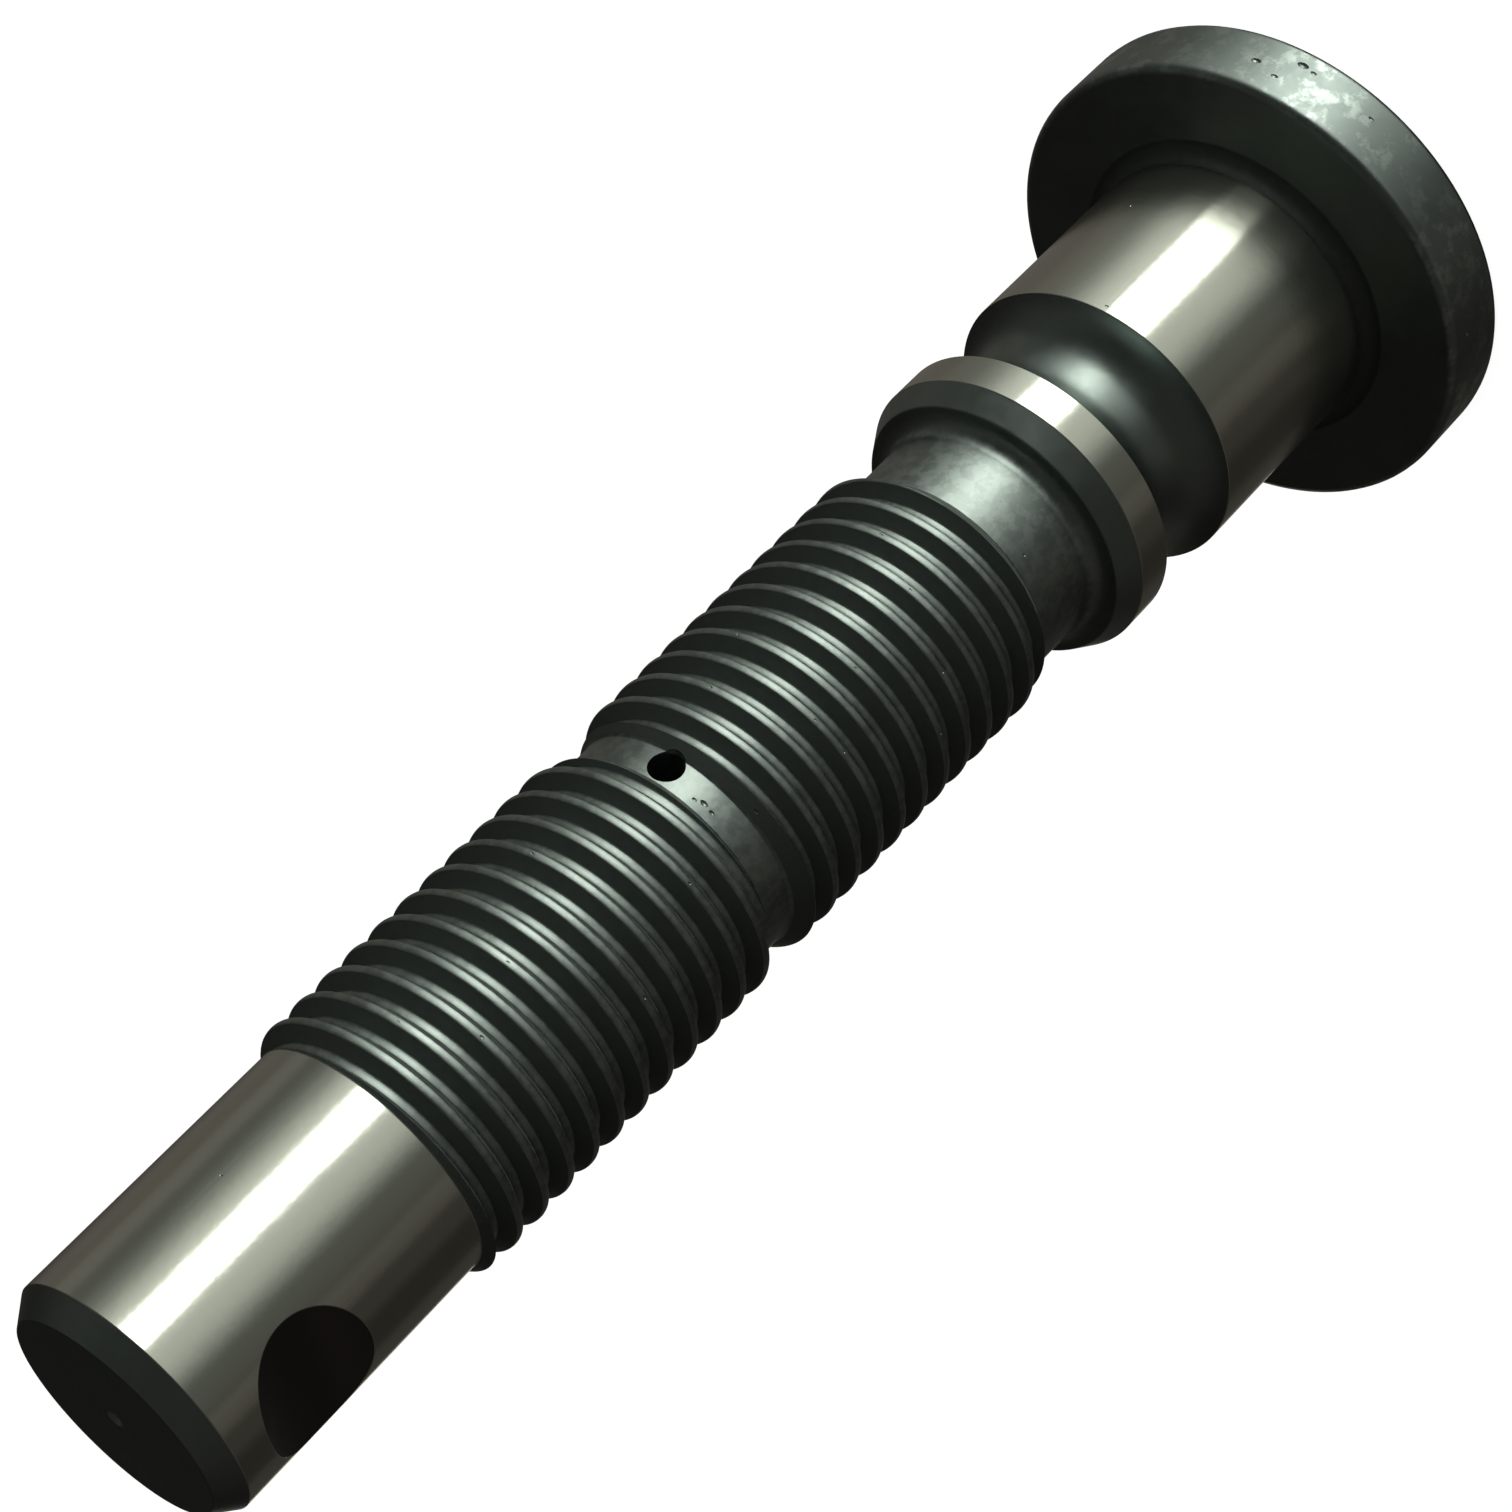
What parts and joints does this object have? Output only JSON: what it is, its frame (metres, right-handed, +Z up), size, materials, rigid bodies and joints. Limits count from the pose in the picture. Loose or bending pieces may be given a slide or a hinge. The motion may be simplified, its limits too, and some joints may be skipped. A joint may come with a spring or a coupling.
{
  "type": "stepped shaft",
  "caption": "Headed steel pin with ground journals, an interrupted coarse thread, a round lock groove, a lock notch and a radial oil hole.",
  "frame": {"origin": "centre of the head's flat outer face, which the shaft stands on", "axes": "+Z up the shaft's axis from the head to the plain end; -Y is the side with the lock notch"},
  "size_m": [0.062, 0.062, 0.204],
  "materials": {
    "steel": "satin"
  },
  "bodies": {
    "root": {"stepped_shaft": "steel"}
  },
  "joints": []
}
